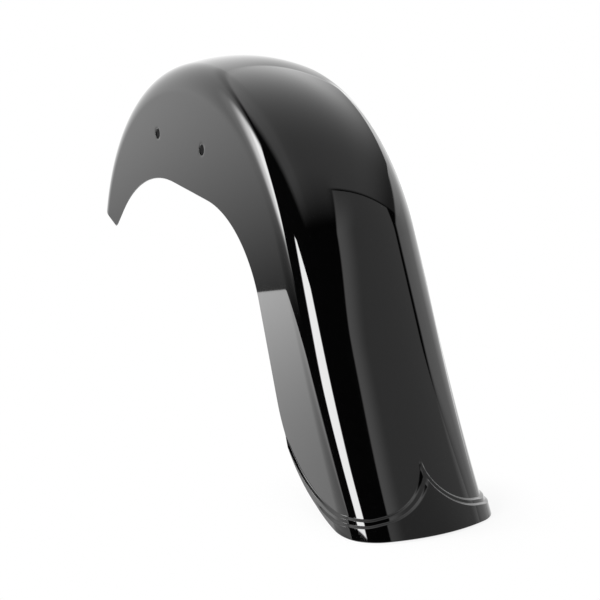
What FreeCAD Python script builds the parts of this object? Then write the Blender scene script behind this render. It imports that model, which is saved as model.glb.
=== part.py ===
import FreeCAD, Part
import math
import os

import Sketcher

# Stretched rear fender for a motorbike: one shell of even gauge, arched in section.
# Its crown follows two arcs over the wheel, a straight run down behind it and a slight
# outward flare. A skirt round the tail steps out twice below a line that peaks in the middle.
#
# X runs to the rear, Y to the right and Z up. The side view is drawn from the centre of the
# rear crown arc, and the finished shell is moved so that the front strut bolt is the origin.

# Driving dimensions, in millimetres and degrees
SIZES = {
    # Crown line of the outer face, in the side view
    "crown_radius": 350,
    "front_radius": 315,
    "join_angle": 101.6,
    "tail_angle": 24,
    "tail_straight": 141,
    "flare_radius": 2160,
    "flare_angle": 6.04,
    # Section across the shell
    "shell_width": 194,
    "crown_arch": 230,
    "shoulder_radius": 42,
    "gauge": 2,
    # Strut bolt holes
    "strut_height": 233.5,
    "strut_pitch": 141,
    "strut_slope": 5.9,
    "strut_hole": 15,
    # Side edge: corners of its outline and the radii that round them
    "front_cut_angle": 23,
    "front_cut_length": 54,
    "front_rise_angle": 105,
    "front_turn_radius": 25,
    "tip_forward": 232.5,
    "tip_height": 90,
    "tip_radius": 4,
    "arch_front_forward": 127,
    "arch_front_height": 191.6,
    "arch_front_radius": 220,
    "arch_rear_back": 188,
    "arch_rear_height": 144.3,
    "arch_rear_radius": 180,
    "heel_back": 322,
    "heel_drop": 197.3,
    "heel_radius": 191,
    # Stepped skirt, measured up from the tail's end
    "step_height": 3.5,
    "step_spacing": 7,
    "fade_depth": 120,
    "cusp_height": 81,
    "dip_height": 29.7,
    "dip_span": 64,
    "side_turn_depth": 13.5,
    "side_turn_radius": 8,
    "side_level": 105,
    "side_sweep_angle": 47,
    "side_sweep_radius": 187,
}

NODE = "fender"

# Shares by which stock and cutting outlines run past the finished edges
WALL_REACH = 0.6
FLARE_REACH = 1.3
CUT_REACH = 1.6

doc = FreeCAD.newDocument("rear_fender")
sheet = doc.addObject("Spreadsheet::Sheet", "sizes")
for row, (alias, number) in enumerate(SIZES.items(), start=1):
    sheet.set(f"A{row}", alias)
    sheet.set(f"B{row}", str(number))
    sheet.setAlias(f"B{row}", alias)
doc.recompute()


def value(expression):
    """Number that an expression of the sheet's sizes has now."""
    return float(sheet.evalExpression(expression))


# Places that several outlines share, as expressions of the sizes
END_ANGLE = "(sizes.tail_angle + sizes.flare_angle)"
FLARE_X = (
    "((sizes.crown_radius + sizes.flare_radius) * cos(sizes.tail_angle)"
    " + sizes.tail_straight * sin(sizes.tail_angle))"
)
FLARE_Z = (
    "((sizes.crown_radius + sizes.flare_radius) * sin(sizes.tail_angle)"
    " - sizes.tail_straight * cos(sizes.tail_angle))"
)
END_X = f"({FLARE_X} - sizes.flare_radius * cos({END_ANGLE}))"
END_Z = f"({FLARE_Z} - sizes.flare_radius * sin({END_ANGLE}))"
FRONT_X = "((sizes.crown_radius - sizes.front_radius) * cos(sizes.join_angle))"
FRONT_Z = "((sizes.crown_radius - sizes.front_radius) * sin(sizes.join_angle))"
FAR = f"({CUT_REACH} * sizes.crown_radius)"
BELOW = "-sizes.shell_width"
BEHIND = "sizes.shell_width / 2"
ACROSS = "2 * sizes.shell_width"


def new_body(name):
    return doc.addObject("PartDesign::Body", name)


def new_sketch(body, name, role, base, axis, turn):
    """Sketch on an origin plane, moved by base and turned about axis, all bound to the sizes."""
    sketch = body.newObject("Sketcher::SketchObject", name)
    plane = next(item for item in body.Origin.OriginFeatures if item.Role == role)
    sketch.AttachmentSupport = (plane, "")
    sketch.MapMode = "FlatFace"
    place = FreeCAD.Vector(*[value(part) for part in base])
    sketch.AttachmentOffset = FreeCAD.Placement(place, FreeCAD.Rotation(axis, value(turn)))
    for letter, part in zip("xyz", base):
        sketch.setExpression(f"AttachmentOffset.Base.{letter}", part)
    if value(turn):
        sketch.setExpression("AttachmentOffset.Rotation.Angle", turn)
    return sketch


def drive(sketch, kind, where, expression):
    """Dimension bound to an expression."""
    index = sketch.addConstraint(Sketcher.Constraint(kind, *where, value(expression)))
    sketch.setExpression(f"Constraints[{index}]", expression)


def pin(sketch, geometry, end, x, y):
    """Fix a point of the sketch at expressions x and y from its origin."""
    drive(sketch, "DistanceX", (-1, 1, geometry, end), x)
    drive(sketch, "DistanceY", (-1, 1, geometry, end), y)


def tie(sketch, kind, *where):
    sketch.addConstraint(Sketcher.Constraint(kind, *where))


def arc(centre, radius, start, stop):
    """Arc drawn anticlockwise between two angles in radians."""
    circle = Part.Circle(FreeCAD.Vector(*centre, 0), FreeCAD.Vector(0, 0, 1), radius)
    return Part.ArcOfCircle(circle, start, stop)


def segment(start, stop):
    return Part.LineSegment(FreeCAD.Vector(*start, 0), FreeCAD.Vector(*stop, 0))


def outline(sketch, corners):
    """Closed outline through corners (x, y, radius), all expressions, radius None if sharp.

    A rounded corner is kept as a construction point that both its edges aim at.
    """
    points = [FreeCAD.Vector(value(x), value(y), 0) for x, y, _ in corners]
    count = len(corners)
    ways = [(points[(i + 1) % count] - points[i]).normalize() for i in range(count)]
    trims = []
    for i, (_, _, radius) in enumerate(corners):
        turn = ways[i - 1].getAngle(ways[i])
        trims.append(value(radius) * math.tan(turn / 2) if radius else 0)
    edges = []
    for i in range(count):
        start = points[i] + ways[i] * trims[i]
        stop = points[(i + 1) % count] - ways[i] * trims[(i + 1) % count]
        edges.append(sketch.addGeometry(Part.LineSegment(start, stop), False))
    for i, (x, y, radius) in enumerate(corners):
        before, after = edges[i - 1], edges[i]
        if radius is None:
            tie(sketch, "Coincident", before, 2, after, 1)
            pin(sketch, after, 1, x, y)
            continue
        start = points[i] - ways[i - 1] * trims[i]
        stop = points[i] + ways[i] * trims[i]
        left = ways[i - 1].x * ways[i].y - ways[i - 1].y * ways[i].x > 0
        side = 1 if left else -1
        centre = start + FreeCAD.Vector(-ways[i - 1].y, ways[i - 1].x, 0) * side * value(radius)
        angles = [math.atan2(p.y - centre.y, p.x - centre.x) for p in (start, stop)]
        first, last = angles if left else reversed(angles)
        bend = sketch.addGeometry(arc((centre.x, centre.y), value(radius), first, last), False)
        corner = sketch.addGeometry(Part.Point(points[i]), True)
        tie(sketch, "Tangent", before, 2, bend, 1 if left else 2)
        tie(sketch, "Tangent", after, 1, bend, 2 if left else 1)
        tie(sketch, "PointOnObject", corner, 1, before)
        tie(sketch, "PointOnObject", corner, 1, after)
        drive(sketch, "Radius", (bend,), radius)
        pin(sketch, corner, 1, x, y)


def skin_shapes(crown, floor, offset, foot):
    """Arcs and walls of one skin of the section, offset from the outer face.

    Each wall runs from its shoulder, which it touches, to a foot that has an offset of its own.
    """
    crown_arch, shoulder_radius = value("sizes.crown_arch"), value("sizes.shoulder_radius")
    inset = value("sizes.shell_width / 2") - shoulder_radius
    spread = math.asin(inset / (crown_arch - shoulder_radius))
    arch_y = value(crown) - crown_arch
    shoulder_y = arch_y + (crown_arch - shoulder_radius) * math.cos(spread)
    radius = shoulder_radius + value(offset)
    foot_x, foot_y = shoulder_radius + value(foot), value(floor) - shoulder_y
    touch = math.atan2(foot_y, foot_x) + math.acos(radius / math.hypot(foot_x, foot_y))
    touch_x, touch_y = inset + radius * math.cos(touch), shoulder_y + radius * math.sin(touch)
    top = math.pi / 2
    return [
        arc((0, arch_y), crown_arch + value(offset), top - spread, top + spread),
        arc((inset, shoulder_y), radius, touch, top - spread),
        arc((-inset, shoulder_y), radius, top + spread, math.pi - touch),
        segment((inset + foot_x, value(floor)), (touch_x, touch_y)),
        segment((-inset - foot_x, value(floor)), (-touch_x, touch_y)),
    ]


def section(body, name, base, turn, crown, floor, outer, inner):
    """Arched section between two skins, each given as its offset from the shell's outer face
    over the arch and its offset at the walls' feet.

    The crown of the outer face lies at height crown above the sketch's origin, which is the
    centre that this stretch of the shell is turned about.
    """
    sketch = new_sketch(body, name, "YZ_Plane", base, FreeCAD.Vector(1, 0, 0), turn)
    skins = []
    for offset, foot in (outer, inner):
        shapes = skin_shapes(crown, floor, offset, foot)
        arch, right, left, right_wall, left_wall = sketch.addGeometry(shapes, False)
        tie(sketch, "Tangent", arch, 1, right, 2)
        tie(sketch, "Tangent", arch, 2, left, 1)
        tie(sketch, "Tangent", right_wall, 2, right, 1)
        tie(sketch, "Tangent", left_wall, 2, left, 2)
        drive(sketch, "Radius", (arch,), f"sizes.crown_arch + {offset}")
        pin(sketch, right_wall, 1, f"sizes.shell_width / 2 + {foot}", floor)
        pin(sketch, left_wall, 1, f"-sizes.shell_width / 2 - ({foot})", floor)
        skins.append((arch, right, left, right_wall, left_wall))
    outside, inside = skins
    arch, right, left = outside[:3]
    tie(sketch, "PointOnObject", arch, 3, -2)
    drive(sketch, "DistanceY", (-1, 1, arch, 3), f"{crown} - sizes.crown_arch")
    inset = "(sizes.shell_width / 2 - sizes.shoulder_radius)"
    drive(sketch, "DistanceX", (-1, 1, right, 3), inset)
    drive(sketch, "DistanceX", (-1, 1, left, 3), f"-{inset}")
    drive(sketch, "Radius", (right,), f"sizes.shoulder_radius + {outer[0]}")
    tie(sketch, "Equal", right, left)
    for outer_arc, inner_arc in zip(outside[:3], inside[:3]):
        tie(sketch, "Coincident", outer_arc, 3, inner_arc, 3)
    for outer_wall, inner_wall in zip(outside[3:], inside[3:]):
        ends = [sketch.getPoint(wall, 1) for wall in (outer_wall, inner_wall)]
        foot = sketch.addGeometry(Part.LineSegment(*ends), False)
        tie(sketch, "Coincident", foot, 1, outer_wall, 1)
        tie(sketch, "Coincident", foot, 2, inner_wall, 1)
    return sketch


def turned(body, name, sketch, angle):
    """Section turned forward and up about the sketch's level axis."""
    feature = body.newObject("PartDesign::Revolution", name)
    feature.Profile = sketch
    feature.ReferenceAxis = (sketch, ["H_Axis"])
    feature.setExpression("Angle", angle)
    feature.Reversed = True
    return feature


def flare_stock(name, outer, inner):
    """Tail stretch alone, between two skins whose walls fade out at the skirt's depth."""
    body = new_body(name)
    floor = "-sizes.flare_radius - sizes.fade_depth"
    sketch = section(
        body, f"{name}_section", ("0", FLARE_Z, FLARE_X), "90 - sizes.tail_angle",
        "-sizes.flare_radius", floor, outer, inner,
    )
    turned(body, f"{name}_turn", sketch, f"{FLARE_REACH} * sizes.flare_angle")
    return body


def shell_body():
    """Whole shell before its edges are cut: front arc, rear arc, straight run and flare."""
    body = new_body("shell")
    skins = (("0", "0"), ("-sizes.gauge", "-sizes.gauge"))
    depth = f"{WALL_REACH} * sizes.crown_radius"
    front = section(
        body, "front_section", ("0", FRONT_Z, FRONT_X), "90 - sizes.join_angle",
        "sizes.front_radius", f"sizes.front_radius - {depth}", *skins,
    )
    turned(body, "front_arc", front, "180 - sizes.join_angle")
    rear = section(
        body, "rear_section", ("0", "0", "0"), "90 - sizes.tail_angle",
        "sizes.crown_radius", f"sizes.crown_radius - {depth}", *skins,
    )
    turned(body, "rear_arc", rear, "sizes.join_angle - sizes.tail_angle")
    run = body.newObject("PartDesign::Pad", "straight_run")
    run.Profile = rear
    run.setExpression("Length", "sizes.tail_straight")
    flare = section(
        body, "flare_section", ("0", FLARE_Z, FLARE_X), "90 - sizes.tail_angle",
        "-sizes.flare_radius", f"-sizes.flare_radius - {depth}", *skins,
    )
    turned(body, "flare", flare, f"{FLARE_REACH} * sizes.flare_angle")
    return body


def skirt_zone(name, drop):
    """Space below the skirt's line, with the line moved drop towards the tail's end.

    Between the two dips the line is a pair of arcs seen from behind, which meet in a cusp.
    Outside them it is drawn in the side view: square to the tail, then level, then up to
    the side edge.
    """
    body = new_body(name)
    rise = "(sizes.cusp_height - sizes.dip_height)"
    radius = f"((sizes.dip_span ^ 2 + {rise} ^ 2) / (2 * {rise}))"
    span, dip = "sizes.dip_span", f"(sizes.dip_height - {drop})"
    reach = value(radius) + value(drop)
    middle = value(f"sizes.dip_height + {radius}")
    rear = new_sketch(
        body, f"{name}_rear", "YZ_Plane", ("0", END_Z, END_X), FreeCAD.Vector(-1, 0, 0), END_ANGLE
    )
    lean = math.acos(value(span) / reach)
    low = value(BELOW)
    right, left, right_side, foot, left_side = rear.addGeometry(
        [
            arc((value(span), middle), reach, math.pi + lean, 1.5 * math.pi),
            arc((-value(span), middle), reach, 1.5 * math.pi, 2 * math.pi - lean),
            segment((value(span), value(dip)), (value(span), low)),
            segment((value(span), low), (-value(span), low)),
            segment((-value(span), low), (-value(span), value(dip))),
        ],
        False,
    )
    for bend, sign in ((right, ""), (left, "-")):
        pin(rear, bend, 3, f"{sign}{span}", f"sizes.dip_height + {radius}")
        drive(rear, "Radius", (bend,), f"{radius} + {drop}")
    tie(rear, "Coincident", right, 1, left, 2)
    tie(rear, "Coincident", right, 2, right_side, 1)
    tie(rear, "Coincident", right_side, 2, foot, 1)
    tie(rear, "Coincident", foot, 2, left_side, 1)
    tie(rear, "Coincident", left_side, 2, left, 1)
    tie(rear, "Vertical", right_side)
    tie(rear, "Vertical", left_side)
    pin(rear, foot, 1, span, BELOW)
    pin(rear, foot, 2, f"-{span}", BELOW)
    middle_pad = body.newObject("PartDesign::Pad", f"{name}_middle")
    middle_pad.Profile = rear
    middle_pad.SideType = "Symmetric"
    middle_pad.setExpression("Length", "sizes.dip_span")

    side = new_sketch(
        body, f"{name}_side", "XZ_Plane", (END_X, END_Z, span), FreeCAD.Vector(0, 0, 1), END_ANGLE
    )
    sweep = f"({END_ANGLE} + sizes.side_sweep_angle)"
    turn_x = f"(-sizes.side_turn_depth - {drop} * tan({END_ANGLE} / 2))"
    level = (
        f"(sizes.side_level + {drop} * (tan(sizes.side_sweep_angle / 2) - tan({END_ANGLE} / 2)))"
    )
    sweep_x = f"({turn_x} - {level} * cos({END_ANGLE}))"
    sweep_y = f"({dip} + {level} * sin({END_ANGLE}))"
    top_x = f"({sweep_x} - {FAR} * cos({sweep}))"
    top_y = f"({sweep_y} + {FAR} * sin({sweep}))"
    outline(
        side,
        [
            (BEHIND, dip, None),
            (turn_x, dip, f"sizes.side_turn_radius + {drop}"),
            (sweep_x, sweep_y, f"sizes.side_sweep_radius + {drop}"),
            (top_x, top_y, None),
            (top_x, BELOW, None),
            (BEHIND, BELOW, None),
        ],
    )
    side_pad = body.newObject("PartDesign::Pad", f"{name}_wall")
    side_pad.Profile = side
    side_pad.setExpression("Length", "sizes.shell_width / 2")
    doc.recompute()
    twin = body.newObject("PartDesign::Mirrored", f"{name}_walls")
    twin.Originals = [side_pad]
    plane = next(item for item in body.Origin.OriginFeatures if item.Role == "XZ_Plane")
    twin.MirrorPlane = (plane, [""])
    body.Tip = twin
    return body


def edge_cutter():
    """Everything outside the side edge, the front cut and the tail's end."""
    body = new_body("edge_cutter")
    sketch = new_sketch(
        body, "edge_outline", "XZ_Plane", ("0", "0", "0"), FreeCAD.Vector(0, 0, 1), "0"
    )
    turn_x = "(-sizes.tip_forward - sizes.front_cut_length * cos(sizes.front_cut_angle))"
    turn_z = "(sizes.tip_height + sizes.front_cut_length * sin(sizes.front_cut_angle))"
    front_x = f"({turn_x} + {FAR} * cos(sizes.front_rise_angle))"
    front_z = f"({turn_z} + {FAR} * sin(sizes.front_rise_angle))"
    rear_x = f"sizes.heel_back + {CUT_REACH} * ({END_X} - sizes.heel_back)"
    rear_z = f"-sizes.heel_drop + {CUT_REACH} * ({END_Z} + sizes.heel_drop)"
    outline(
        sketch,
        [
            (front_x, front_z, None),
            (turn_x, turn_z, "sizes.front_turn_radius"),
            ("-sizes.tip_forward", "sizes.tip_height", "sizes.tip_radius"),
            ("-sizes.arch_front_forward", "sizes.arch_front_height", "sizes.arch_front_radius"),
            ("sizes.arch_rear_back", "sizes.arch_rear_height", "sizes.arch_rear_radius"),
            ("sizes.heel_back", "-sizes.heel_drop", "sizes.heel_radius"),
            (rear_x, rear_z, None),
            (rear_x, f"-{FAR}", None),
            (f"-{FAR}", f"-{FAR}", None),
            (f"-{FAR}", front_z, None),
        ],
    )
    pad = body.newObject("PartDesign::Pad", "edge_block")
    pad.Profile = sketch
    pad.SideType = "Symmetric"
    pad.setExpression("Length", ACROSS)
    return body


def strut_drill():
    """Pair of strut bolt holes through both walls, on a line that falls to the rear."""
    body = new_body("strut_drill")
    sketch = new_sketch(
        body, "strut_holes", "XZ_Plane", ("0", "0", "0"), FreeCAD.Vector(0, 0, 1), "0"
    )
    for sign in ("-", ""):
        x = f"{sign}sizes.strut_pitch / 2 * cos(sizes.strut_slope)"
        z = f"sizes.strut_height - {sign or '+'}sizes.strut_pitch / 2 * sin(sizes.strut_slope)"
        centre = FreeCAD.Vector(value(x), value(z), 0)
        up = FreeCAD.Vector(0, 0, 1)
        hole = sketch.addGeometry(Part.Circle(centre, up, value("sizes.strut_hole / 2")), False)
        pin(sketch, hole, 3, x, z)
        drive(sketch, "Diameter", (hole,), "sizes.strut_hole")
    pad = body.newObject("PartDesign::Pad", "strut_pins")
    pad.Profile = sketch
    pad.SideType = "Symmetric"
    pad.setExpression("Length", ACROSS)
    return body


def combine(kind, name, base, tool):
    """Part boolean of two objects."""
    result = doc.addObject(kind, name)
    result.Base = base
    result.Tool = tool
    return result


# The skirt: each step adds a raised border outside and clears the same depth inside,
# one gauge further down, so that the riser is as thick as the sheet.
fender = shell_body()
clearings = []
for step in (1, 2):
    lift = f"{step} * sizes.step_height"
    drop = f"{step - 1} * sizes.step_spacing"
    border = combine(
        "Part::Common", f"border_{step}",
        flare_stock(f"border_stock_{step}", (lift, "0"), ("-sizes.gauge / 2", "-sizes.gauge / 2")),
        skirt_zone(f"border_zone_{step}", f"({drop})"),
    )
    clearing = combine(
        "Part::Common", f"clearing_{step}",
        flare_stock(
            f"clearing_stock_{step}", (f"{lift} - sizes.gauge", "-sizes.gauge"),
            ("-2 * sizes.gauge", "-2 * sizes.gauge"),
        ),
        skirt_zone(f"clearing_zone_{step}", f"({drop} + sizes.gauge)"),
    )
    fender = combine("Part::Fuse", f"raised_{step}", fender, border)
    clearings.append(clearing)
for step, clearing in enumerate(clearings, start=1):
    fender = combine("Part::Cut", f"cleared_{step}", fender, clearing)
fender = combine("Part::Cut", "trimmed", fender, edge_cutter())
fender = combine("Part::Cut", "drilled", fender, strut_drill())
fender.Refine = True
fender.Label = NODE
fender.setExpression("Placement.Base.x", "sizes.strut_pitch / 2 * cos(sizes.strut_slope)")
fender.setExpression(
    "Placement.Base.z", "-sizes.strut_height - sizes.strut_pitch / 2 * sin(sizes.strut_slope)"
)
doc.recompute()

for item in doc.Objects:
    if "Invalid" in item.State or "Error" in item.State:
        raise RuntimeError(f"{item.Name} failed to rebuild: {item.State}")
shape = fender.Shape
if shape.isNull() or not shape.isValid() or len(shape.Solids) != 1:
    raise RuntimeError(f"{fender.Label} is not one valid solid")
os.makedirs("parts", exist_ok=True)
shape.exportStep(f"parts/{fender.Label}.step")
box = shape.optimalBoundingBox(False)
print(f"{fender.Label}: {box.XLength:.1f} x {box.YLength:.1f} x {box.ZLength:.1f} mm,",
      f"{shape.Volume / 1000:.1f} cm3, {len(shape.Faces)} faces")
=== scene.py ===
import math

import bpy
import numpy as np
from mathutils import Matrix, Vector


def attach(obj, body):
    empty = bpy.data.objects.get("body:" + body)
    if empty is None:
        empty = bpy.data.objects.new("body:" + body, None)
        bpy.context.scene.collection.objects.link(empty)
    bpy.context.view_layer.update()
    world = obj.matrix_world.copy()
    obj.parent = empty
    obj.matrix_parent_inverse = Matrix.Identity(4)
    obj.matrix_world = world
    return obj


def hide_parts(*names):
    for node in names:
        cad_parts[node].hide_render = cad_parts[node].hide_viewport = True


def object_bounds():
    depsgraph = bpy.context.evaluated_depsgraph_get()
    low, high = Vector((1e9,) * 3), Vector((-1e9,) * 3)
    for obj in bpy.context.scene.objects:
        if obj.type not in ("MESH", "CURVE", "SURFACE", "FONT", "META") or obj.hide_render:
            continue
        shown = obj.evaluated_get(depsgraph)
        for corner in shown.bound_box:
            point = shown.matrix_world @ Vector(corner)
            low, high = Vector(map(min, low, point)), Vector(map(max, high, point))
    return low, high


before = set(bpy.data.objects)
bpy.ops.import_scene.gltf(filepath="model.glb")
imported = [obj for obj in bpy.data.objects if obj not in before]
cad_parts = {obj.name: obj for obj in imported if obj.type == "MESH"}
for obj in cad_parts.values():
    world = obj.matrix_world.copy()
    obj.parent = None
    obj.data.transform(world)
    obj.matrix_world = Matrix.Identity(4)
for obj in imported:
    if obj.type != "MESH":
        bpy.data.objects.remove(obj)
cad_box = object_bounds()

# Sizes of the shell, in metres and radians, measured from the centre of the rear crown arc
CROWN_RADIUS = 0.350
FRONT_RADIUS = 0.315
JOIN_ANGLE = math.radians(101.6)
TAIL_ANGLE = math.radians(24)
TAIL_STRAIGHT = 0.141
FLARE_RADIUS = 2.160
FLARE_ANGLE = math.radians(6.04)
HALF_WIDTH = 0.097
CROWN_ARCH = 0.230
SHOULDER_RADIUS = 0.042
GAUGE = 0.002

STRUT_HEIGHT = 0.2335
STRUT_PITCH = 0.141
STRUT_SLOPE = math.radians(5.9)
STRUT_HOLE = 0.015
HOLE_LIP = 0.0005
SKIN_INSET = 0.00015
RIM_INSET = 0.0013

# Side edge: angles and lengths of the front edge, then corners as (x, z, radius)
FRONT_RISE_ANGLE = math.radians(105)
FRONT_CUT_ANGLE = math.radians(23)
FRONT_CUT_LENGTH = 0.054
FRONT_TURN_RADIUS = 0.025
TIP = (-0.2325, 0.090, 0.004)
ARCH_FRONT = (-0.127, 0.1916, 0.220)
ARCH_REAR = (0.188, 0.1443, 0.180)
HEEL = (0.322, -0.1973, 0.191)

# Skirt: its steps and land, then its line, with heights above the tail's end
STEP_HEIGHTS = (0.0036, 0.0034)
STEP_SPACING = 0.007
STEP_RAMP = 0.0030
WALL_RAMP = 0.0022
STEP_EASE = 0.2
LAND_TILT = 0.026
LAND_MIDDLE = 0.030
INNER_DROP = 0.0016
FADE_DEPTHS = (0.250, 0.088)
CUSP_HEIGHT = 0.0910
DIP_HEIGHT = 0.0318
DIP_SPAN = 0.064
SIDE_TURN_DEPTH = 0.0135
SIDE_TURN_RADIUS = 0.008
SIDE_LEVEL = 0.100
SIDE_SWEEP_ANGLE = math.radians(46)
SIDE_SWEEP_RADIUS = 0.165

# Distances along the surface and places in the side view (x, z) that follow from the sizes
REAR_END = CROWN_RADIUS * (JOIN_ANGLE - TAIL_ANGLE)
RUN_END = REAR_END + TAIL_STRAIGHT
TAIL_END = RUN_END + FLARE_RADIUS * FLARE_ANGLE
JOIN_NORMAL = np.array([math.cos(JOIN_ANGLE), math.sin(JOIN_ANGLE)])
FRONT_CENTRE = (CROWN_RADIUS - FRONT_RADIUS) * JOIN_NORMAL
TAIL_NORMAL = np.array([math.cos(TAIL_ANGLE), math.sin(TAIL_ANGLE)])
TAIL_WAY = np.array([math.sin(TAIL_ANGLE), -math.cos(TAIL_ANGLE)])
RUN_START = CROWN_RADIUS * TAIL_NORMAL
FLARE_CENTRE = RUN_START + TAIL_STRAIGHT * TAIL_WAY + FLARE_RADIUS * TAIL_NORMAL
SHOULDER_INSET = HALF_WIDTH - SHOULDER_RADIUS
SPREAD = math.asin(SHOULDER_INSET / (CROWN_ARCH - SHOULDER_RADIUS))
SHOULDER_DEPTH = CROWN_ARCH - (CROWN_ARCH - SHOULDER_RADIUS) * math.cos(SPREAD)
ARCH_END = CROWN_ARCH * SPREAD
SHOULDER_END = ARCH_END + SHOULDER_RADIUS * (math.pi / 2 - SPREAD)
STRUT_REACH = STRUT_PITCH / 2 * np.array([math.cos(STRUT_SLOPE), -math.sin(STRUT_SLOPE)])
STRUT_HOLES = [np.array([0, STRUT_HEIGHT]) + side * STRUT_REACH for side in (-1, 1)]
ORIGIN = np.array([STRUT_HOLES[0][0], 0, STRUT_HOLES[0][1]])

# Grid of the shell: columns from the middle to the side edge, rows from the front to the tail
CROWN_COLUMNS = 16
SHOULDER_COLUMNS = 26
WALL_COLUMNS = 24
WALL_MARGIN = 0.004
BODY_ROWS = 200
LAND_ROWS = 14

# Rows at set distances below the skirt's line, negative above it
APPROACH = np.arange(-1.6, 0.1, 0.4) / 1000
STEP_ROWS = np.arange(0.4, 12.6, 0.4) / 1000

# Loops of the rim and of the bolt holes
RIM_STEPS = 5
LIP_STEPS = 4
HOLE_CELLS = 4
HOLE_SPREAD = (0.35, 0.7)
WALL_SHARE = 0.9

# Steps and limits of the working out
NORMAL_STEP = 0.00005
CORNER_POINTS = 60
OUTLINE_SPACING = 0.0004
FRONT_OVERRUN, TAIL_OVERRUN = 0.2, 0.3
SECTION_REACH, SECTION_POINTS = 0.4, 8001
LINE_SEARCH, HALVINGS = (-0.22, 0.05), 40
LINE_NEAR = 0.02
SETTLE_ROUNDS = 6
LEAST_ROOM, ROOM_POWER = 1e-7, 4


def crown_line(s):
    """Side-view points and outward normals of the crown at distance s behind its two arcs' join.

    The front arc runs before the join; behind it come the rear arc, a straight run and a flare
    that turns about a centre outside the shell.
    """
    zones = [s < 0, s < REAR_END, s < RUN_END]
    angle = np.select(
        zones,
        [JOIN_ANGLE - s / FRONT_RADIUS, JOIN_ANGLE - s / CROWN_RADIUS, TAIL_ANGLE + 0 * s],
        TAIL_ANGLE + (s - RUN_END) / FLARE_RADIUS,
    )
    normal = np.stack([np.cos(angle), np.sin(angle)], -1)
    run = RUN_START + (s - REAR_END)[..., None] * TAIL_WAY
    point = np.select(
        [zone[..., None] for zone in zones],
        [FRONT_CENTRE + FRONT_RADIUS * normal, CROWN_RADIUS * normal, run],
        FLARE_CENTRE - FLARE_RADIUS * normal,
    )
    return point, normal


def section(v):
    """Half-width, depth below the crown and lean of the outward normal at distance v from the middle.

    v runs along the crown's arch, then round the shoulder, then down the flat wall.
    """
    on_arch = v < ARCH_END
    turn = np.minimum(SPREAD + (v - ARCH_END) / SHOULDER_RADIUS, math.pi / 2)
    lean = np.where(on_arch, v / CROWN_ARCH, turn)
    round_width = SHOULDER_INSET + SHOULDER_RADIUS * np.sin(lean)
    width = np.where(on_arch, CROWN_ARCH * np.sin(lean), round_width)
    round_depth = SHOULDER_DEPTH - SHOULDER_RADIUS * np.cos(lean)
    wall = np.maximum(v - SHOULDER_END, 0)
    depth = np.where(on_arch, CROWN_ARCH * (1 - np.cos(lean)), round_depth + wall)
    return width, depth, lean


def shell_points(s, v, lift):
    """Points at (s, v), raised by lift: crown point less depth times its normal, plus the half-width.

    The lift is along the surface's normal, which leans from the crown's normal to the side.
    """
    point, normal = crown_line(s)
    width, depth, lean = section(v)
    side = point - (depth - lift * np.cos(lean))[..., None] * normal
    return np.stack([side[..., 0], width + lift * np.sin(lean), side[..., 1]], -1)


def below_line(s, v):
    """Distance of (s, v) below the skirt's line, negative above it.

    Near the middle the line is a circle's arc seen square to the tail's end, so the distance is
    the radius from its centre less the arc's radius. Further out the line is drawn in the side
    view as three runs with rounded corners, and the distance is taken from the nearest of them.
    """
    place = shell_points(s, v, 0 * s)
    end, out = crown_line(np.array(TAIL_END))
    offset = place[..., [0, 2]] - end
    height = offset @ np.array([-out[1], out[0]])
    inward = -(offset @ out)

    rise = CUSP_HEIGHT - DIP_HEIGHT
    radius = (DIP_SPAN**2 + rise**2) / (2 * rise)
    over = height - (DIP_HEIGHT + radius)
    run = DIP_SPAN - place[..., 1]
    middle = np.where(over < 0, np.hypot(run, over), run - over) - radius

    spot = np.stack([inward, height], -1)
    end_angle = TAIL_ANGLE + FLARE_ANGLE
    angles = (0, end_angle, end_angle + SIDE_SWEEP_ANGLE)
    ways = [np.array([math.cos(a), math.sin(a)]) for a in angles]
    lefts = [np.array([-math.sin(a), math.cos(a)]) for a in angles]
    turn = np.array([SIDE_TURN_DEPTH, DIP_HEIGHT])
    corners = [turn, turn + SIDE_LEVEL * ways[1]]
    side = -((spot - turn) @ lefts[0])
    for k, (corner, bend) in enumerate(zip(corners, (SIDE_TURN_RADIUS, SIDE_SWEEP_RADIUS))):
        trim = bend * math.tan((angles[k + 1] - angles[k]) / 2)
        from_centre = spot - (corner - trim * ways[k] + bend * lefts[k])
        past = from_centre @ ways[k] > 0
        side = np.where(past, np.linalg.norm(from_centre, axis=-1) - bend, side)
        gone = from_centre @ ways[k + 1] > 0
        side = np.where(past & gone, -((spot - corner) @ lefts[k + 1]), side)
    return np.where(run > 0, middle, side)


def skirt_lift(s, v, drop):
    """Raise of the skirt at (s, v): two eased steps and a tilted land, fading out down the walls.

    Each step rises from nought to its height over the ramp, as t less a share of the sine of
    a whole turn times t, which rounds its ends a little. The ramp narrows between the
    shoulder's depth and twice that depth. The land below the steps sinks in proportion to s.
    drop moves both steps down, as the inner face needs.
    """
    below = np.where(s > RUN_END, below_line(s, v), -STEP_SPACING) - drop
    _, depth, lean = section(v)
    sink = LAND_TILT * (s - TAIL_END + LAND_MIDDLE) * np.cos(lean)
    ramp = STEP_RAMP + (WALL_RAMP - STEP_RAMP) * np.clip(depth / SHOULDER_DEPTH - 1, 0, 1)
    starts, heights = (0, STEP_SPACING), (STEP_HEIGHTS[0], STEP_HEIGHTS[1] - sink)
    lift = 0
    for start, height, end in zip(starts, heights, FADE_DEPTHS):
        t = np.clip((below - start) / ramp, 0, 1)
        fade = np.clip((end - depth) / (end - SHOULDER_DEPTH), 0, 1)
        lift = lift + height * fade * (t - STEP_EASE * np.sin(2 * math.pi * t) / (2 * math.pi))
    return lift


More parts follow.
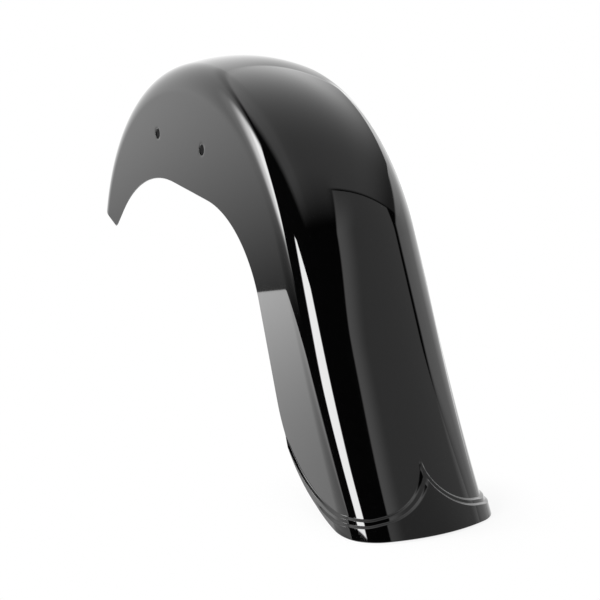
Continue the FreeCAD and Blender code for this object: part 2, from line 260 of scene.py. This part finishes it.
def shell_normals(s, v, drop):
    """Outward normals at (s, v): the cross product of small steps along v and along s.

    In the middle plane they have no sideways part, because both halves meet there.
    """
    ahead, behind, out, back = (
        shell_points(s + ds, v + dv, skirt_lift(s + ds, v + dv, drop))
        for ds, dv in ((NORMAL_STEP, 0), (-NORMAL_STEP, 0), (0, NORMAL_STEP), (0, -NORMAL_STEP))
    )
    normal = np.cross(ahead - behind, out - back)
    normal[v < NORMAL_STEP] *= [1, 0, 1]
    return normal / np.linalg.norm(normal, axis=-1, keepdims=True)


def line_at(v, below):
    """Distance s at which the column v lies a given distance below the skirt's line, by halving."""
    low, high = (TAIL_END + reach + 0 * v for reach in LINE_SEARCH)
    for _ in range(HALVINGS):
        middle = (low + high) / 2
        under = below_line(middle, v) > below
        low, high = np.where(under, low, middle), np.where(under, middle, high)
    return (low + high) / 2


def rounded_outline(corners, spacing):
    """Even points along an outline of straight runs whose corners (x, z, radius) are rounded.

    Each arc touches both its runs, so it starts radius times tan(turn / 2) before the corner.
    """
    places = np.array([corner[:2] for corner in corners])
    ways = np.diff(places, axis=0)
    ways /= np.linalg.norm(ways, axis=1)[:, None]
    parts = [places[:1]]
    for k, (_, _, radius) in enumerate(corners[1:-1]):
        before, after = ways[k], ways[k + 1]
        cross = before[0] * after[1] - before[1] * after[0]
        turn = math.atan2(cross, before @ after)
        start = places[k + 1] - radius * math.tan(abs(turn) / 2) * before
        left = math.copysign(1, turn) * np.array([-before[1], before[0]])
        swept = np.linspace(0, abs(turn), CORNER_POINTS)[:, None]
        parts.append(start + radius * (np.sin(swept) * before + (1 - np.cos(swept)) * left))
    parts.append(places[-1:])
    line = np.concatenate(parts)
    length = np.concatenate([[0], np.cumsum(np.linalg.norm(np.diff(line, axis=0), axis=1))])
    even = np.arange(0, length[-1], spacing)
    return np.stack([np.interp(even, length, line[:, 0]), np.interp(even, length, line[:, 1])], -1)


def unrolled(points):
    """Distance s along the crown and depth below it of side-view points: crown_line in reverse."""
    from_front, from_flare = points - FRONT_CENTRE, FLARE_CENTRE - points
    run = (points - RUN_START) @ TAIL_WAY
    angle, front_angle, flare_angle = (
        np.arctan2(p[:, 1], p[:, 0]) for p in (points, from_front, from_flare)
    )
    zones = [run > TAIL_STRAIGHT, run > 0, angle < JOIN_ANGLE]
    s = np.select(
        zones,
        [
            RUN_END + FLARE_RADIUS * (flare_angle - TAIL_ANGLE),
            REAR_END + run,
            CROWN_RADIUS * (JOIN_ANGLE - angle),
        ],
        FRONT_RADIUS * (JOIN_ANGLE - front_angle),
    )
    depth = np.select(
        zones,
        [
            np.linalg.norm(from_flare, axis=1) - FLARE_RADIUS,
            (RUN_START - points) @ TAIL_NORMAL,
            CROWN_RADIUS - np.linalg.norm(points, axis=1),
        ],
        FRONT_RADIUS - np.linalg.norm(from_front, axis=1),
    )
    return s, depth


def side_edge():
    """Distances s and v and depths along the side edge, and the number of its tip.

    The edge is drawn in the side view from above the front to beyond the tail, and is then moved
    in by the rim's inset, square to its run. v comes from a table of the section's depths.
    """
    cut_way = np.array([-math.cos(FRONT_CUT_ANGLE), math.sin(FRONT_CUT_ANGLE)])
    rise_way = np.array([math.cos(FRONT_RISE_ANGLE), math.sin(FRONT_RISE_ANGLE)])
    front_turn = np.array(TIP[:2]) + FRONT_CUT_LENGTH * cut_way
    above = front_turn + FRONT_OVERRUN * rise_way
    end = crown_line(np.array(TAIL_END))[0]
    beyond = end + TAIL_OVERRUN * (end - np.array(HEEL[:2]))
    first, last = [(*above, 0), (*front_turn, FRONT_TURN_RADIUS)], (*beyond, 0)
    outline = rounded_outline([*first, TIP, ARCH_FRONT, ARCH_REAR, HEEL, last], OUTLINE_SPACING)
    way = np.gradient(outline, axis=0)
    way /= np.linalg.norm(way, axis=1)[:, None]
    outline = outline + RIM_INSET * np.stack([-way[:, 1], way[:, 0]], -1)
    s, depth = unrolled(outline)
    table = np.linspace(0, SECTION_REACH, SECTION_POINTS)
    v = np.interp(depth, section(table)[1], table)
    tip = np.argmin(np.where(outline[:, 0] < ARCH_FRONT[0], outline[:, 1], np.inf))
    return s, v, depth, tip


def shell_grid():
    """Distances (s, v) of the half shell's grid and the row that lies on the skirt's line.

    Columns keep their v over the crown and shoulder and share out the wall down to the edge.
    Rows pass from the front edge to just above the skirt's line, follow lines at set distances
    from it, and then share out the land below the steps down to the tail's edge.
    """
    edge_s, edge_v, edge_depth, tip = side_edge()
    front = slice(np.argmax(edge_depth > 0) - 1, tip + 1)
    side_s, side_v = edge_s[tip:], edge_v[tip:]
    tail = side_s > REAR_END
    tail_s, tail_v, tail_depth = side_s[tail], side_v[tail], edge_depth[tip:][tail]
    tail_below = below_line(tail_s, tail_v)
    near = slice(0, np.argmax(tail_below > LINE_NEAR))

    fixed = np.concatenate([
        np.linspace(0, ARCH_END, CROWN_COLUMNS + 1),
        np.linspace(ARCH_END, SHOULDER_END + WALL_MARGIN, SHOULDER_COLUMNS + 1)[1:],
    ])
    share = np.linspace(0, 1, WALL_COLUMNS + 1)[1:]

    def columns(edge):
        """Columns of rows that end at the given side-edge distances."""
        wall = fixed[-1] + (edge[:, None] - fixed[-1]) * share
        return np.concatenate([np.broadcast_to(fixed, (len(edge), len(fixed))), wall], 1)

    line_s = np.interp(APPROACH, tail_below[near], tail_s[near])
    line_v = columns(np.interp(line_s, tail_s, tail_v))
    approach_s = line_at(line_v, APPROACH[:, None])
    front_v = columns(edge_v[tip : tip + 1])
    front_s = np.interp(front_v, edge_v[front], edge_s[front])
    t = np.linspace(0, 1, BODY_ROWS)[:-1, None]
    body_s = (1 - t) * front_s + t * approach_s[:1]
    body_v = columns(np.interp(body_s[:, -1], side_s, side_v))

    # Below the line each step row keeps its distance while there is room above the tail's edge
    first, low_v = approach_s[-1], line_v[-1]
    _, depth, lean = section(low_v)
    last = np.interp(-depth, -tail_depth, tail_s)
    for _ in range(SETTLE_ROUNDS):
        raised = depth - skirt_lift(last, low_v, 0) * np.cos(lean)
        last = np.interp(-raised, -tail_depth, tail_s)
    room = np.maximum(last - first, LEAST_ROOM)
    wanted = line_at(np.broadcast_to(low_v, (len(STEP_ROWS), len(low_v))), STEP_ROWS[:, None])
    part = (wanted - first) / room
    step_s = first + room * part / (1 + part**ROOM_POWER) ** (1 / ROOM_POWER)
    t = np.linspace(0, 1, LAND_ROWS + 1)[1:, None]
    land_s = (1 - t) * step_s[-1:] + t * last
    low_s = np.concatenate([step_s, land_s])
    s = np.concatenate([body_s, approach_s, low_s])
    v = np.concatenate([body_v, line_v, np.broadcast_to(low_v, low_s.shape)])
    return s, v, len(body_s) + len(APPROACH) - 1


def whole(half):
    """Both halves of a grid whose first column lies in the middle plane."""
    return np.concatenate([half[:, :0:-1] * [1, -1, 1], half], 1)


def band(loops, outward):
    """Quads between closed loops of vertex numbers, each loop joined to the next."""
    ahead = np.roll(loops, -1, 1)
    order = [loops[:-1], ahead[:-1], ahead[1:], loops[1:]]
    if not outward:
        order = order[::-1]
    return np.stack(order, -1).reshape(-1, 4)


def block_loop(top, bottom, left, right):
    """Row and column numbers once round a block of the grid."""
    wide, tall = right - left, bottom - top
    across, down = np.arange(left, right), np.arange(top, bottom)
    rows = [np.full(wide, top), down, np.full(wide, bottom), down[::-1] + 1]
    columns = [across, np.full(tall, right), across[::-1] + 1, np.full(tall, left)]
    return np.concatenate(rows), np.concatenate(columns)


def hole_places(centre, side, outline):
    """Loops of points from a block's outline to a hole's circle and through the sheet.

    The first loops pass in set shares from the outline to the lip, which is a quarter circle
    that turns in from the outer face. The same loops in reverse order lie on the inner face.
    """
    ray = outline / np.linalg.norm(outline, axis=1)[:, None]
    lip = STRUT_HOLE / 2 + HOLE_LIP
    quarter = np.linspace(0, math.pi / 2, LIP_STEPS)
    mouth, sink = lip - HOLE_LIP * np.sin(quarter), HOLE_LIP * (1 - np.cos(quarter))
    upper = [((1 - t) * outline + t * lip * ray, 0) for t in HOLE_SPREAD]
    upper += [(radius * ray, depth) for radius, depth in zip(mouth, sink)]
    lower = [(ring, GAUGE - SKIN_INSET - depth) for ring, depth in reversed(upper)]
    rings = np.stack([ring for ring, _ in upper + lower])
    depths = np.array([depth for _, depth in upper + lower])
    out = np.broadcast_to(side * (HALF_WIDTH - SKIN_INSET - depths)[:, None], rings.shape[:2])
    return np.stack([centre[0] + rings[..., 0], out, centre[1] + rings[..., 1]], -1)


def fender_mesh():
    """Vertices, faces, normals and an underside mark: two skins, a round rim and the bolt holes.

    The rim is half a circle swept along the edge between the skins. Each hole opens a block of
    the grid and fills it with loops from the block's outline on the outer skin to the same
    outline on the inner one.
    """
    s, v, line_row = shell_grid()
    outer = whole(shell_points(s, v, skirt_lift(s, v, 0) - SKIN_INSET)) - ORIGIN
    inner = whole(shell_points(s, v, skirt_lift(s, v, INNER_DROP) - GAUGE)) - ORIGIN
    skin_normals = [whole(shell_normals(s, v, 0)), -whole(shell_normals(s, v, INNER_DROP))]
    rows, wide = outer.shape[:2]
    under = rows * wide
    number = np.arange(under).reshape(rows, wide)
    # Below the skirt's line the outermost columns have no length, so each is one vertex
    number[line_row + 1 :, [0, -1]] = number[line_row, [0, -1]]
    points = [outer.reshape(-1, 3), inner.reshape(-1, 3)]
    bands = []

    def sleeve(ring, places, outward):
        """Adds loops of places between a ring of the outer skin and the same ring of the inner."""
        start = sum(len(part) for part in points)
        loops = start + np.arange(places[..., 0].size).reshape(places.shape[:2])
        points.append(places.reshape(-1, 3))
        bands.append(band(np.concatenate([[ring], loops, [ring + under]]), outward))

    keep = np.ones((rows - 1, wide - 1), bool)
    for hole in STRUT_HOLES:
        centre = hole - ORIGIN[[0, 2]]
        for side in (-1, 1):
            off_wall = outer[..., 1] * side < WALL_SHARE * HALF_WIDTH
            gap = np.linalg.norm(outer[..., [0, 2]] - centre, axis=-1) + off_wall
            row, column = np.unravel_index(np.argmin(gap), gap.shape)
            top, bottom = row - HOLE_CELLS, row + HOLE_CELLS
            left, right = column - HOLE_CELLS, column + HOLE_CELLS
            keep[top:bottom, left:right] = False
            loop = block_loop(top, bottom, left, right)
            places = hole_places(centre, side, outer[loop][:, [0, 2]] - centre)
            sleeve(number[loop], places, outward=False)

    # The rim turns at both ends of the skirt's line and follows the last row between them
    loop = block_loop(0, line_row, 0, wide - 1)
    start = wide - 1 + line_row
    loop[0][start + 1 : start + wide - 1] = rows - 1
    ring = number[loop]
    over, below = points[0][ring], points[1][ring]
    middle, reach = (over + below) / 2, (over - below) / 2
    along = np.roll(middle, -1, 0) - np.roll(middle, 1, 0)
    away = np.cross(reach, along)
    away *= (np.linalg.norm(reach, axis=1) / np.linalg.norm(away, axis=1))[:, None]
    turn = np.linspace(0, math.pi, RIM_STEPS + 2)[1:-1, None, None]
    sleeve(ring, middle + reach * np.cos(turn) + away * np.sin(turn), outward=True)

    corners = [number[:-1, :-1], number[1:, :-1], number[1:, 1:], number[:-1, 1:]]
    cells = np.stack(corners, -1)[keep]
    faces = np.concatenate([cells, cells[:, ::-1] + under] + bands)
    place = np.concatenate(points)
    added = len(place) - 2 * under
    marks = np.repeat([0.0, 1.0, 0.0], [under, under, added])
    normals = np.concatenate([part.reshape(-1, 3) for part in skin_normals] + [np.zeros((added, 3))])
    used, faces = np.unique(faces, return_inverse=True)
    return place[used], faces.reshape(-1, 4), normals[used], marks[used]


def add_object(name, data):
    """Object that holds the data, linked to the scene."""
    item = bpy.data.objects.new(name, data)
    bpy.context.collection.objects.link(item)
    return item


def add_piece(name, place, faces, normals, marks, material):
    """Smooth mesh object of quads, with repeated corners dropped to leave triangles."""
    repeat = faces == np.roll(faces, 1, 1)
    quads = faces[~repeat.any(1)].tolist()
    once = repeat.sum(1) == 1
    triangles = faces[once][~repeat[once]].reshape(-1, 3).tolist()
    mesh = bpy.data.meshes.new(name)
    mesh.from_pydata(place.tolist(), [], quads + triangles)
    mesh.shade_smooth()
    mesh.normals_split_custom_set_from_vertices(normals.tolist())
    mark = mesh.attributes.new("underside", "FLOAT", "POINT")
    mark.data.foreach_set("value", marks.astype(np.float32))
    mesh.materials.append(material)
    return add_object(name, mesh)


class Wire:
    """A shader value: sums and products of it add Math nodes to its tree."""

    def __init__(self, tree, socket=None):
        self.tree = tree
        self.socket = socket

    def node(self, kind, settings, inputs, out=0):
        """Node of a kind, with its settings made first and then its socket values or links."""
        node = self.tree.nodes.new(kind)
        for name, setting in settings.items():
            setattr(node, name, setting)
        for name, given in inputs.items():
            if isinstance(given, Wire):
                self.tree.links.new(given.socket, node.inputs[name])
            else:
                node.inputs[name].default_value = given
        return Wire(self.tree, node.outputs[out]) if len(node.outputs) else None

    def ease(self, start, end):
        """Smooth rise from 0 at start to 1 at end."""
        span = {"Value": self, "From Min": start, "From Max": end}
        return self.node("ShaderNodeMapRange", {"interpolation_type": "SMOOTHSTEP"}, span)

    def math(self, operation, first, second):
        """Math node that works on two values or wires."""
        return self.node("ShaderNodeMath", {"operation": operation}, {0: first, 1: second})

    def __add__(self, other):
        return self.math("ADD", self, other)

    def __radd__(self, other):
        return self.math("ADD", other, self)

    def __sub__(self, other):
        return self.math("SUBTRACT", self, other)

    def __rsub__(self, other):
        return self.math("SUBTRACT", other, self)

    def __mul__(self, other):
        return self.math("MULTIPLY", self, other)

    def __rmul__(self, other):
        return self.math("MULTIPLY", other, self)


def empty_tree(holder):
    """Wire to build on in the emptied node tree of a material, lamp or world."""
    holder.use_nodes = True
    holder.node_tree.nodes.clear()
    return Wire(holder.node_tree)


def gloss_black_paint():
    """Gloss black paint under a clear coat, with a faint orange peel; the underside is satin."""
    peel_share, haze_roughness, paint_roughness = 0.15, 0.03, 0.03
    underside_roughness, underside_coat_loss = 0.5, 0.85
    black, soft_black = (0.0004, 0.0004, 0.00045, 1), (0.0008, 0.0008, 0.00085, 1)
    satin_black = (0.018, 0.018, 0.018, 1)
    material = bpy.data.materials.new("gloss_black_paint")
    wire = empty_tree(material)
    place = wire.node("ShaderNodeTexCoord", {}, {}, "Object")
    underside = wire.node("ShaderNodeAttribute", {"attribute_name": "underside"}, {}, "Fac")
    peel, haze, grain = (
        wire.node("ShaderNodeTexNoise", {}, {"Vector": place, "Scale": scale, "Detail": detail})
        for scale, detail in ((260.0, 2.0), (9.0, 4.0), (1400.0, 3.0))
    )
    height = peel * (1 - underside) * peel_share + grain * underside
    bump = wire.node("ShaderNodeBump", {}, {"Height": height, "Strength": 0.04, "Distance": 0.0004})
    colour_mix = {"data_type": "RGBA"}
    tint = wire.node(
        "ShaderNodeMix", colour_mix, {"Factor": haze, "A": black, "B": soft_black}, "Result"
    )
    colour = wire.node(
        "ShaderNodeMix", colour_mix, {"Factor": underside, "A": tint, "B": satin_black}, "Result"
    )
    outside_roughness = (haze * haze_roughness + paint_roughness) * (1 - underside)
    shader = wire.node(
        "ShaderNodeBsdfPrincipled", {},
        {
            "Base Color": colour,
            "Roughness": outside_roughness + underside * underside_roughness,
            "Specular IOR Level": 0.1,
            "Coat Weight": 1 - underside * underside_coat_loss,
            "Coat Roughness": 0.012,
            "Coat IOR": 1.5,
            "Normal": bump,
        },
    )
    wire.node("ShaderNodeOutputMaterial", {}, {"Surface": shader})
    return material


def white_floor():
    """Pale floor that camera, glossy and transmitted rays see as white, but for a soft shadow.

    Under the tail a share of what they see is the lit floor itself, and it fades with distance.
    """
    material = bpy.data.materials.new("white_floor")
    wire = empty_tree(material)
    camera_ray, glossy_ray, through_ray = (
        wire.node("ShaderNodeLightPath", {}, {}, f"Is {kind} Ray")
        for kind in ("Camera", "Glossy", "Transmission")
    )
    seen = wire.math("MAXIMUM", wire.math("MAXIMUM", camera_ray, glossy_ray), through_ray)
    place = wire.node("ShaderNodeTexCoord", {}, {}, "Object")
    ends = {0: place, 1: SHADOW_MIDDLE}
    away = wire.node("ShaderNodeVectorMath", {"operation": "DISTANCE"}, ends, "Value")
    shadow = (1 - away.ease(*SHADOW_REACH)) * SHADOW_SHARE
    pale = wire.node("ShaderNodeBsdfDiffuse", {}, {"Color": (0.85, 0.85, 0.85, 1)})
    bright = wire.node("ShaderNodeEmission", {}, {"Color": (1, 1, 1, 1), "Strength": 1.0})
    both = wire.node("ShaderNodeMixShader", {}, {0: seen * (1 - shadow), 1: pale, 2: bright})
    wire.node("ShaderNodeOutputMaterial", {}, {"Surface": both})
    return material


def level(west, east, near, far, height, turn=0):
    """Place, turn, size and middle of a lamp that lies level between four sides.

    It shines down, or up where it is turned over.
    """
    middle = ((west + east) / 2, (near + far) / 2)
    return (*middle, height), (turn, 0, 0), (east - west, far - near), middle


def upright(way, distance, left, right, low, high):
    """Place, turn, size and middle of a lamp that stands off along a way and shines back."""
    out = distance * np.array([math.cos(way), math.sin(way)])
    side = (left + right) / 2 * np.array([-math.sin(way), math.cos(way)])
    middle = ((left + right) / 2, (low + high) / 2)
    turn = (math.pi / 2, 0, way + math.pi / 2)
    return (*(out + side), middle[1]), turn, (right - left, high - low), middle


def softbox(name, face, radiance, shade):
    """Area lamp with a face from level or upright, placed from the studio's middle.

    Its power is the radiance times pi times its area. shade turns the distances across and up
    its face from the studio's middle into the share that each spot gives.
    """
    place, turn, size, middle = face
    lamp = bpy.data.lights.new(name, "AREA")
    lamp.shape = "RECTANGLE"
    lamp.size, lamp.size_y = size
    lamp.energy = radiance * math.pi * size[0] * size[1]
    wire = empty_tree(lamp)
    spot = wire.node("ShaderNodeNewGeometry", {}, {}, "Parametric")
    across, up = (
        (wire.node("ShaderNodeSeparateXYZ", {}, {"Vector": spot}, axis) - 0.5) * length + centre
        for axis, length, centre in zip("XY", size, middle)
    )
    glow = wire.node("ShaderNodeEmission", {}, {"Strength": shade(across, up)})
    wire.node("ShaderNodeOutputLight", {}, {"Surface": glow})
    holder = add_object(name, lamp)
    holder.location = STUDIO_MIDDLE + Vector(place)
    holder.rotation_euler = turn
    holder.visible_camera = False


# Shades of the lamps: distances are metres on a lamp's face, and factors are shares of its radiance


def overhead_shade(x, y):
    """Brighter to the front and the near side, dimmer to the far side, with soft near and front edges.

    It fades out to the rear, but ends crisply there on the far side.
    """
    share = 0.33 + 0.50 * (1 - x.ease(-1.6, 0.5)) + 0.16 * (1 - y.ease(-0.45, 0.2))
    far = y.ease(0.4, 0.7)
    end = far * (1 - x.ease(1.14, 1.2)) + (1 - far) * (1 - x.ease(0.7, 2.1))
    front = (x * -math.cos(NEAR_WAY) + y * -math.sin(NEAR_WAY) + SCRIM_FRONT).ease(0, 0.16)
    fall = (0.56 + 0.2 * x.ease(-2.4, -1.3)) * y.ease(1.25, 2.75)
    return share * end * front * y.ease(-1.38, -0.76) * (1 - fall)


def rear_shade(x, y):
    """A lighter strip along the near edge; both edges slant, and more so further back."""
    inside = y - 0.57 + 0.25 * x.ease(2.35, 3.1) + 0.2 * x.ease(3.1, 3.27) + 0.2 * x.ease(3.27, 3.7)
    strip = (1 - inside.ease(0, 0.7)) * x.ease(1.0, 2.4)
    far = (0.72 + 1.5 * x + 2.0 * x.ease(2.55, 2.75) - y).ease(0, 0.08)
    return (0.5 + 0.7 * strip) * (1 - 0.35 * x.ease(3.3, 3.65)) * inside.ease(-0.03, 0.03) * far


def far_shade(across, up):
    """Brightest in the middle, with a leaning rear edge and a top that falls away to the rear.

    It fades out to the front.
    """
    share = 0.62 + 0.38 * across.ease(-0.8, -0.1) * (1 - across.ease(0.5, 1.2)) * up.ease(-0.1, 0.4)
    rear = (across - up * 0.4 + 1.09).ease(-0.02, 0.34 - 0.3 * up.ease(0.1, 0.4))
    top = (across * 0.37 - up + 1.02).ease(-0.02, 0.04)
    return share * rear * top * (1 - across.ease(1.35, 1.75))


def near_shade(across, up):
    """Fades towards the floor, sooner towards the rear, and a little towards the front.

    The upper part darkens to the rear, and the top edge is soft.
    """
    front = 0.64 + 0.36 * across.ease(-4.2, -2.0)
    dark = 0.22 * across.ease(-2.4, -1.8) + 0.78 * across.ease(-0.3, 1.25)
    lit = up.ease(across * 0.35 - 0.75, 0.3) * front
    return lit * (1 - up.ease(2.0, 2.55) * dark) * (1 - up.ease(2.72, 3.1))


def key_shade(across, up):
    """Rises slowly from the front, then quickly to a crisp rear edge; top and bottom are soft."""
    lean = across + up * 0.4
    rise = 0.05 * lean.ease(0.65, 1.2) + 0.57 * lean.ease(1.05, 1.8) + 0.4 * lean.ease(1.75, 2.15)
    edges = (1 - (across + up * 0.15).ease(2.11, 2.23)) * (1 - (up - across * 0.25).ease(1.3, 1.85))
    return rise * edges * up.ease(0.12, 0.5)


def strip_shade(across, up):
    """Crisp edges that both bend to the right near the bottom, which is cut on the slant."""
    left = (across - up * 0.25 + 0.02 - 0.27 * (1 - up.ease(-0.19, 0.0))).ease(-0.02, 0.03)
    right = (across + up * 0.15 - 0.43 - 0.035 * (1 - up.ease(0.02, 0.07))).ease(-0.04, 0.01)
    return left * (1 - right) * (up - across * 0.4566 + 0.2520).ease(-0.001, 0.003)


def floor_shade(x, y):
    """Brighter towards the front, and a stride away from the part."""
    return 1 - 0.85 * x.ease(-1.2, 0.3) + 0.5 * y.ease(-2.2, -0.9) * (1 - y.ease(-0.55, -0.22))


paint = gloss_black_paint()
fender = add_piece("fender_shell", *fender_mesh(), paint)
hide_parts("fender")
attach(fender, "root")

# Floor just under the tail, whose front edge lies in front of the part
FLOOR_GAP = 0.0005
FLOOR_LEVEL = cad_box[0].z - FLOOR_GAP
FLOOR_FRONT, FLOOR_REACH = -0.9, 6.0
SHADOW_MIDDLE, SHADOW_REACH, SHADOW_SHARE = (0.45, 0.0, FLOOR_LEVEL), (0.05, 0.22), 0.2
floor_mesh = bpy.data.meshes.new("floor")
floor_corners = [
    (FLOOR_FRONT, -FLOOR_REACH, FLOOR_LEVEL), (FLOOR_REACH, -FLOOR_REACH, FLOOR_LEVEL),
    (FLOOR_REACH, FLOOR_REACH, FLOOR_LEVEL), (FLOOR_FRONT, FLOOR_REACH, FLOOR_LEVEL),
]
floor_mesh.from_pydata(floor_corners, [], [(0, 1, 2, 3)])
floor_mesh.materials.append(white_floor())
floor = add_object("floor", floor_mesh)

# World that is white to the camera and almost black to the paint
DIM_WORLD = 0.012
scene = bpy.context.scene
scene.world = bpy.data.worlds.new("studio")
sky = empty_tree(scene.world)
glow = sky.node("ShaderNodeLightPath", {}, {}, "Is Camera Ray") * (1 - DIM_WORLD) + DIM_WORLD
backdrop = sky.node("ShaderNodeBackground", {}, {"Color": (1, 1, 1, 1), "Strength": glow})
sky.node("ShaderNodeOutputWorld", {}, {"Surface": backdrop})

# Studio: scrims overhead, a wall on the far and on the near side, two softboxes and a lit floor
STUDIO_MIDDLE = Vector((0.2, 0, -0.1))
FAR_WAY, NEAR_WAY, STRIP_WAY = math.radians(90), math.radians(-150), math.radians(-70)
SCRIM_LEVEL, SCRIM_GAP, SCRIM_FRONT = 1.6, 0.03, 1.15
GLOW_GAP = 0.002
GLOW_LEVEL = FLOOR_LEVEL - STUDIO_MIDDLE.z + GLOW_GAP
softbox(
    "overhead_scrim", level(west=-3.6, east=2.1, near=-1.4, far=3.4, height=SCRIM_LEVEL),
    radiance=1.7, shade=overhead_shade,
)
softbox(
    "rear_scrim", level(west=1.23, east=7.5, near=-0.2, far=10.5, height=SCRIM_LEVEL + SCRIM_GAP),
    radiance=1.04, shade=rear_shade,
)
softbox(
    "far_wall", upright(FAR_WAY, distance=1.5, left=-1.2, right=2.5, low=-0.32, high=0.95),
    radiance=1.8, shade=far_shade,
)
softbox(
    "near_wall", upright(NEAR_WAY, distance=2.0, left=-8.0, right=2.0, low=-0.8, high=3.1),
    radiance=1.2, shade=near_shade,
)
softbox(
    "key_softbox", upright(NEAR_WAY, distance=1.95, left=0.1, right=2.2, low=0.0, high=2.4),
    radiance=13.0, shade=key_shade,
)
softbox(
    "strip_softbox", upright(STRIP_WAY, distance=1.0, left=-0.07, right=0.50, low=-0.20, high=0.35),
    radiance=17.0, shade=strip_shade,
)
softbox(
    "floor_glow", level(west=-1.1, east=0.5, near=-2.6, far=-0.12, height=GLOW_LEVEL, turn=math.pi),
    radiance=1.8, shade=floor_shade,
)

# Camera at the photograph's viewing angle
AZIMUTH, ELEVATION = math.radians(30.3), math.radians(10.74)
LOOK_AT, CAMERA_DISTANCE = Vector((0.23262, 0, -0.21038)), 1.7
SENSOR_WIDTH, LENS = 36, 76.97
back = Vector((
    math.cos(AZIMUTH) * math.cos(ELEVATION),
    -math.sin(AZIMUTH) * math.cos(ELEVATION),
    math.sin(ELEVATION),
))
camera_data = bpy.data.cameras.new("camera")
camera_data.sensor_width = SENSOR_WIDTH
camera_data.lens = LENS
camera = add_object("camera", camera_data)
camera.location = LOOK_AT + CAMERA_DISTANCE * back
camera.rotation_euler = (-back).to_track_quat("-Z", "Y").to_euler()
scene.camera = camera
scene.view_settings.view_transform = "Standard"
